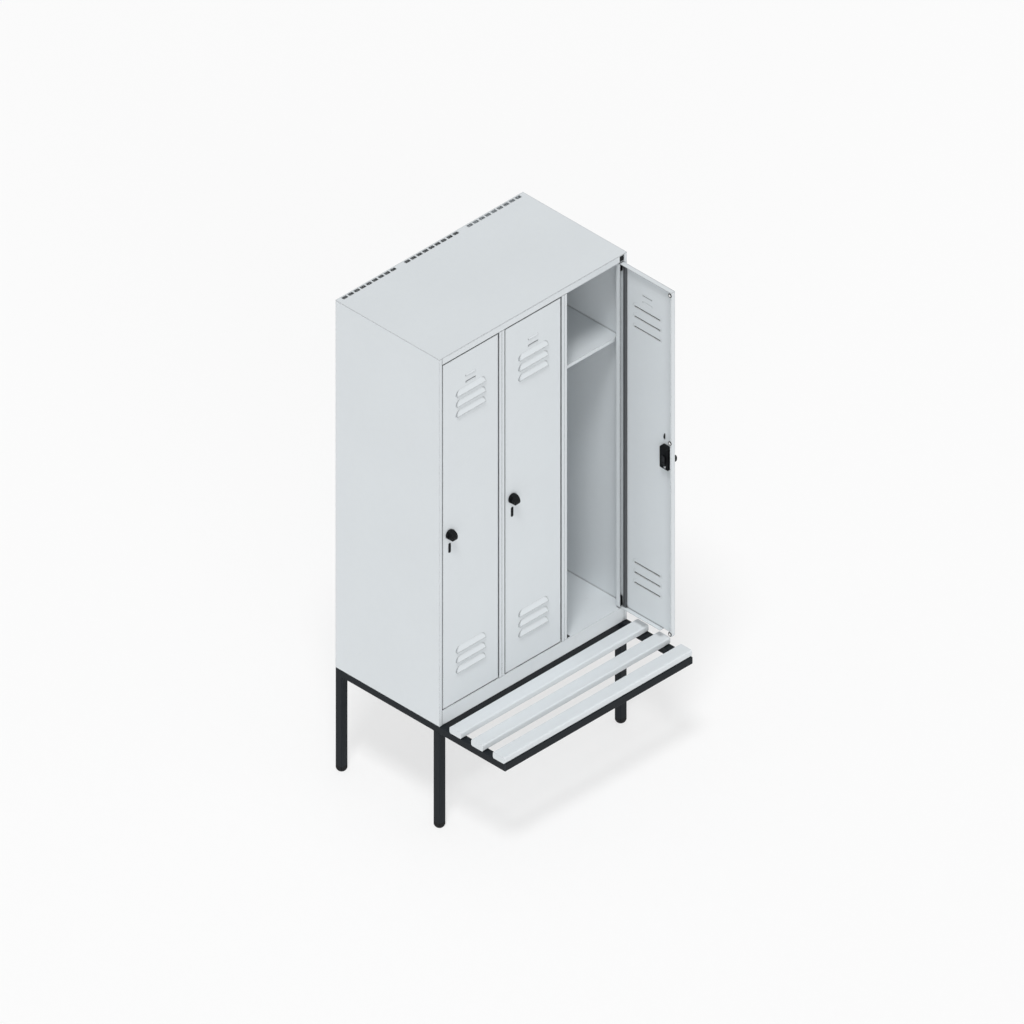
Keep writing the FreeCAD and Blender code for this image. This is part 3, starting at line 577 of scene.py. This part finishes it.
# %% Pointing groove
GROOVE_UP = 4.0
GROOVE_WIDTH, GROOVE_DEPTH, GROOVE_LENGTH = 1.8, 4.0, 11.0
GROOVE_TAPER = (0.5, 0.9, 0.9)
lean = math.asin((GROOVE_UP + CROWN_DROP) / CROWN_RADIUS)
groove = start(
    bpy.ops.mesh.primitive_cube_add, "knob_groove", size=1.0,
    scale=(GROOVE_WIDTH * MM, GROOVE_DEPTH * MM, GROOVE_LENGTH * MM),
    location=at(KNOB_X, crown_y - CROWN_RADIUS * math.cos(lean), KNOB_Z + GROOVE_UP),
    rotation=(-lean, 0, 0),
)
pick(groove, "faces", lambda face, middle: face.normal.y > FACING)
bpy.ops.transform.resize(value=GROOVE_TAPER, center_override=at(KNOB_X, GRIP_FRONT, KNOB_Z + GROOVE_UP))
combine(knob, groove, "DIFFERENCE")
print("knob faces with groove:", len(knob.data.polygons))

# %% A knob on every door
for number in range(1, DOORS + 1):
    copy = twin(knob, "turning_knob_" + str(number), to_door[number])
    hang(copy, "latch_" + str(number), "black_plastic")
    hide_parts("knob_" + str(number))
discard(knob)
print("knobs:", DOORS)

# %% [markdown]
# ## Screw of the lock case
# A bright pan-head screw holds each lock case. A cylinder gets a rounded rim, and two crossed wedges cut
# its recess. It is modelled once and copied, each copy with a mesh of its own.

# %% Pan-head screw
CASE_BACK = 22.0
SCREW_X, SCREW_Z = 46.5, 1182.0
SCREW_RADIUS, SCREW_HEIGHT, SCREW_ROUND = 4.2, 2.4, 1.3
RECESS_LONG, RECESS_WIDE, RECESS_TAPER = 5.2, 1.1, 0.5
screw = start(
    bpy.ops.mesh.primitive_cylinder_add, "pan_head", vertices=40, radius=SCREW_RADIUS * MM,
    depth=SCREW_HEIGHT * MM, location=at(SCREW_X, CASE_BACK + SCREW_HEIGHT / 2, SCREW_Z),
    rotation=(QUARTER, 0, 0),
)
rim_y = at(0, CASE_BACK + SCREW_HEIGHT * 0.9, 0).y
pick(screw, "edges", lambda edge, middle: middle.y > rim_y)
bpy.ops.mesh.bevel(offset=SCREW_ROUND * MM, segments=5)
for wide, high in ((RECESS_LONG, RECESS_WIDE), (RECESS_WIDE, RECESS_LONG)):
    cut = start(
        bpy.ops.mesh.primitive_cube_add, "recess", size=1.0,
        scale=(wide * MM, SCREW_HEIGHT * MM, high * MM),
        location=at(SCREW_X, CASE_BACK + SCREW_HEIGHT, SCREW_Z),
    )
    pick(cut, "faces", lambda face, middle: face.normal.y < -FACING)
    taper = (RECESS_TAPER, 1, RECESS_TAPER)
    bpy.ops.transform.resize(value=taper, center_override=at(SCREW_X, CASE_BACK, SCREW_Z))
    combine(screw, cut, "DIFFERENCE")
print("screw faces:", len(screw.data.polygons))

# %% A screw on every lock case
for number in range(1, DOORS + 1):
    copy = twin(screw, "case_screw_" + str(number), to_door[number])
    hang(copy, "door_" + str(number), "bare_steel")
discard(screw)
print("screws:", DOORS)

# %% [markdown]
# ## Rings round the buffers
# Each door closes against pale rubber buffers, and each buffer sits in a black ring that is pressed
# into the edge of the door. The ring is a flat cylinder: both its caps are inset,
# the two inner faces are bridged into a hole, and a bevel rounds the rims.

# %% One ring
DOOR_BACK = 21.0
RING_RADIUS, RING_WALL, RING_DEPTH = 7.8, 2.8, 2.7
BUFFER_X = 21.9
BUFFER_HEIGHTS = (499.5, 1293.0, 1907.5)
ring = start(
    bpy.ops.mesh.primitive_cylinder_add, "buffer_ring", vertices=40, radius=RING_RADIUS * MM,
    depth=RING_DEPTH * MM, location=at(BUFFER_X, DOOR_BACK + RING_DEPTH / 2, BUFFER_HEIGHTS[0]),
    rotation=(QUARTER, 0, 0),
)
pick(ring, "faces", lambda face, middle: abs(face.normal.y) > FACING)
bpy.ops.mesh.inset(thickness=RING_WALL * MM)
bpy.ops.mesh.bridge_edge_loops()
round_edges(ring, width=0.6, segments=3, sharper_than=50)
print("ring faces:", len(ring.data.polygons))

# %% Three rings on every door
for number in range(1, DOORS + 1):
    name = "buffer_rings_" + str(number)
    rings = []
    for height in BUFFER_HEIGHTS:
        lift = Matrix.Translation((0, 0, (height - BUFFER_HEIGHTS[0]) * MM))
        rings.append(twin(ring, name, to_door[number] @ lift))
    hang(join_all(rings, name), "door_" + str(number), "black_plastic")
discard(ring)
print("rings:", DOORS * len(BUFFER_HEIGHTS))

# %% [markdown]
# ## Weld beads
# The underframe is welded from square tube. A bead could be painted with bump, but its ripples show against
# the light, so a thin cylinder is sliced into short rings and every second ring is drawn in.
# The beads lie in the hollow corners where legs and rails meet.

# %% One rippled bead
BEAD_LENGTH, BEAD_RADIUS = 27.0, 2.2
SLICES = 14
RIPPLE, END_TAPER = 0.84, 0.55
bead = start(
    bpy.ops.mesh.primitive_cylinder_add, "bead", vertices=10, radius=BEAD_RADIUS * MM,
    depth=BEAD_LENGTH * MM, rotation=(0, QUARTER, 0),
)
half = BEAD_LENGTH / 2 * MM
step = BEAD_LENGTH / SLICES * MM
cuts = [number * step - half for number in range(1, SLICES)]
for cut_x in cuts:
    bpy.ops.mesh.select_all(action="SELECT")
    bpy.ops.mesh.bisect(plane_co=(cut_x, 0, 0), plane_no=(1, 0, 0))
for cut_x in cuts[::2]:
    pick(bead, "edges", lambda edge, middle: all(abs(v.co.x - cut_x) < step / 4 for v in edge.verts))
    bpy.ops.transform.resize(value=(1, RIPPLE, RIPPLE), center_override=(cut_x, 0, 0))
for end in (-1, 1):
    pick(bead, "faces", lambda face, middle: face.normal.x * end > FACING)
    bpy.ops.transform.resize(value=(1, END_TAPER, END_TAPER), center_override=(end * half, 0, 0))
bpy.ops.object.mode_set(mode="OBJECT")
print("bead faces:", len(bead.data.polygons))

# %% Beads along the joints
TUBE = 30.0
rail_low, rail_middle = BODY_LOW - TUBE, BODY_LOW - TUBE / 2
along_x = Matrix.Identity(4)
along_y = Matrix.Rotation(QUARTER, 4, "Z")
along_z = Matrix.Rotation(QUARTER, 4, "Y")
joints = []
for side in (TUBE / 2, WIDTH - TUBE / 2):
    for edge_y in (0.0, TUBE, DEPTH - TUBE):
        joints.append((along_x, (side, edge_y, rail_low)))
for inner in (TUBE, WIDTH - TUBE):
    joints.append((along_y, (inner, DEPTH - TUBE / 2, rail_low)))
    for edge_y in (0.0, TUBE):
        joints.append((along_z, (inner, edge_y, rail_middle)))
beads = [twin(bead, "weld", Matrix.Translation(at(*place)) @ turn) for turn, place in joints]
discard(bead)
hang(join_all(beads, "frame_welds"), "locker", "frame_paint")
print("beads:", len(joints))

# %% [markdown]
# ## Rivets of the back
# Blind rivets hold the back sheet: a column up the flange of each side, and a row along the floor panel.
# A half sphere would stand too high, so a low cylinder gets a wide rounded rim. Its face is inset
# and pushed in, where the pin of a blind rivet breaks off.

# %% One rivet head
RIVET_RADIUS, RIVET_HEIGHT = 4.2, 1.2
RIVET_RIM, RIVET_DIP = 0.9, 0.7
rivet = start(
    bpy.ops.mesh.primitive_cylinder_add, "rivet", vertices=28, radius=RIVET_RADIUS * MM,
    depth=RIVET_HEIGHT * MM, location=(0, RIVET_HEIGHT / 2 * MM, 0), rotation=(QUARTER, 0, 0),
)
pick(rivet, "edges", lambda edge, middle: all(v.co.y > RIVET_RIM * MM for v in edge.verts))
bpy.ops.mesh.bevel(offset=RIVET_RIM * MM, segments=4)
pick(rivet, "faces", lambda face, middle: face.normal.y > FACING and len(face.verts) > 4)
bpy.ops.mesh.inset(thickness=RIVET_RADIUS / 2 * MM)
extrude(0, -RIVET_DIP, 0)
bpy.ops.object.mode_set(mode="OBJECT")
print("rivet faces:", len(rivet.data.polygons))

# %% Rivets along the edges of the back
FLANGE_MIDDLE = 7.5
SHEET_STEP = 1.0
SIDE_HEIGHTS = (520, 790, 1060, 1330, 1600, 1870)
FLOOR_PLACES = (60, 240, 450, 660, 840)
FLOOR_HEIGHT = 456
places = [(x, DEPTH, z) for x in (FLANGE_MIDDLE, WIDTH - FLANGE_MIDDLE) for z in SIDE_HEIGHTS]
places += [(x, DEPTH - SHEET_STEP, FLOOR_HEIGHT) for x in FLOOR_PLACES]
rivets = [twin(rivet, "rivets", Matrix.Translation(at(*place))) for place in places]
discard(rivet)
hang(join_all(rivets, "back_rivets"), "locker", "body_paint")
print("rivets:", len(places))

# %% [markdown]
# ## Black plugs in the floor, for painted shade
# The floor of each compartment is notched beside the lock stile, and a black plug fills the notch as painted
# shade of the dark notch.
# It could be a plain block. A moulded plug is thinner: its lower edges are rounded,
# and its top is inset and pushed down into a shallow tray.

# %% One black plug of painted shade
STILE, NOTCH_WIDTH = 13.5, 17.5
NOTCH_FRONT, NOTCH_BACK = 3.0, 23.8
FLOOR_TOP = 485.5
PLUG_HEIGHT, PLUG_PLAY = 9.0, 0.05
PLUG_ROUND, PLUG_WALL, TRAY_DEPTH = 2.5, 1.4, 1.0
plug_width = NOTCH_WIDTH - 2 * PLUG_PLAY
plug_depth = NOTCH_BACK - NOTCH_FRONT - 2 * PLUG_PLAY
plug_middle = FLOOR_TOP - PLUG_HEIGHT / 2
# A jet black block whose black is painted shade for the notch.
shade_plug = start(
    bpy.ops.mesh.primitive_cube_add, "floor_shade_plug", size=1.0,
    scale=(plug_width * MM, plug_depth * MM, PLUG_HEIGHT * MM),
    location=at(STILE + NOTCH_WIDTH / 2, (NOTCH_FRONT + NOTCH_BACK) / 2, plug_middle),
)
pick(shade_plug, "edges", lambda edge, middle: all(v.co.z < plug_middle * MM for v in edge.verts))
bpy.ops.mesh.bevel(offset=PLUG_ROUND * MM, segments=4)
pick(shade_plug, "faces", lambda face, middle: face.normal.z > FACING)
bpy.ops.mesh.inset(thickness=PLUG_WALL * MM)
extrude(0, 0, -TRAY_DEPTH)
bpy.ops.object.mode_set(mode="OBJECT")
print("plug faces:", len(shade_plug.data.polygons))

# %% A black shade plug in every compartment
for number in range(1, DOORS + 1):
    hang(twin(shade_plug, "floor_shade_plug_" + str(number), along_row(number)), "locker", "black_plastic")
discard(shade_plug)
print("plugs:", DOORS)

# %% [markdown]
# ## Light and floor
# The drawing is evenly lit on white. A pale world gives that even light, and one wide sun from the upper left
# lets the folds and the open door throw soft shadows. A second, lower one from the front
# reaches into the open compartment.
# The floor is a pale sheet. For the camera, and for what shines, it is mixed with plain white,
# so that it stays bright and still keeps the shadow of the locker.

# %% Suns
SUN_PLACE = (-3, -4, 6)


def add_sun(name, direction, energy, spread):
    bpy.ops.object.light_add(type="SUN", location=SUN_PLACE)
    sun = bpy.context.object
    sun.name = name
    sun.rotation_euler = Vector(direction).to_track_quat("-Z", "Y").to_euler()
    sun.data.energy = energy
    sun.data.angle = math.radians(spread)
    return sun


key = add_sun("key_sun", direction=(0.38, 0.30, -1.0), energy=1.58, spread=14)
fill = add_sun("fill_sun", direction=(0.60, 0.76, -0.24), energy=0.9, spread=40)
print("suns", key.data.energy, fill.data.energy)

# %% World
WHITE = (1.0, 1.0, 1.0, 1.0)
PLAIN_WHITE = (0.97, 0.97, 0.97, 1.0)
WORLD_LIGHT = 0.47
world = bpy.data.worlds.new("even_light")
bpy.context.scene.world = world
world.use_nodes = True
sky = Net(world.node_tree)
background = sky.tree.nodes["Background"]
sky.feed(background.inputs["Color"], WHITE)
sky.feed(background.inputs["Strength"], WORLD_LIGHT)
even = Signal(sky, background.outputs[0])
plain = sky.node("ShaderNodeBackground", {}, {"Color": PLAIN_WHITE, "Strength": 1.0})
shown = sky.node("ShaderNodeMixShader", {}, {0: sky.seen(), 1: even, 2: plain})
sky.feed(sky.tree.nodes["World Output"].inputs["Surface"], shown)
print("world", WORLD_LIGHT)

# %% Pale floor
FLOOR_SIZE = 40.0
FLOOR_WHITE = 0.6
bpy.ops.object.select_all(action="DESELECT")
bpy.ops.mesh.primitive_plane_add(size=FLOOR_SIZE, location=(0, 0, 0))
floor = bpy.context.object
floor.name = "studio_floor"
ground = Finish("pale_floor")
ground.set(Base_Color=(0.92, 0.92, 0.92, 1.0), Roughness=0.9)
sheet = Signal(ground, ground.shader.outputs[0])
glow = ground.node("ShaderNodeEmission", {}, {"Color": WHITE, "Strength": 1.0})
mixed = ground.node("ShaderNodeMixShader", {}, {0: ground.seen() * FLOOR_WHITE, 1: sheet, 2: glow})
ground.feed(ground.tree.nodes["Material Output"].inputs["Surface"], mixed)
floor.data.materials.append(ground.material)
print("floor", FLOOR_SIZE, "m wide")
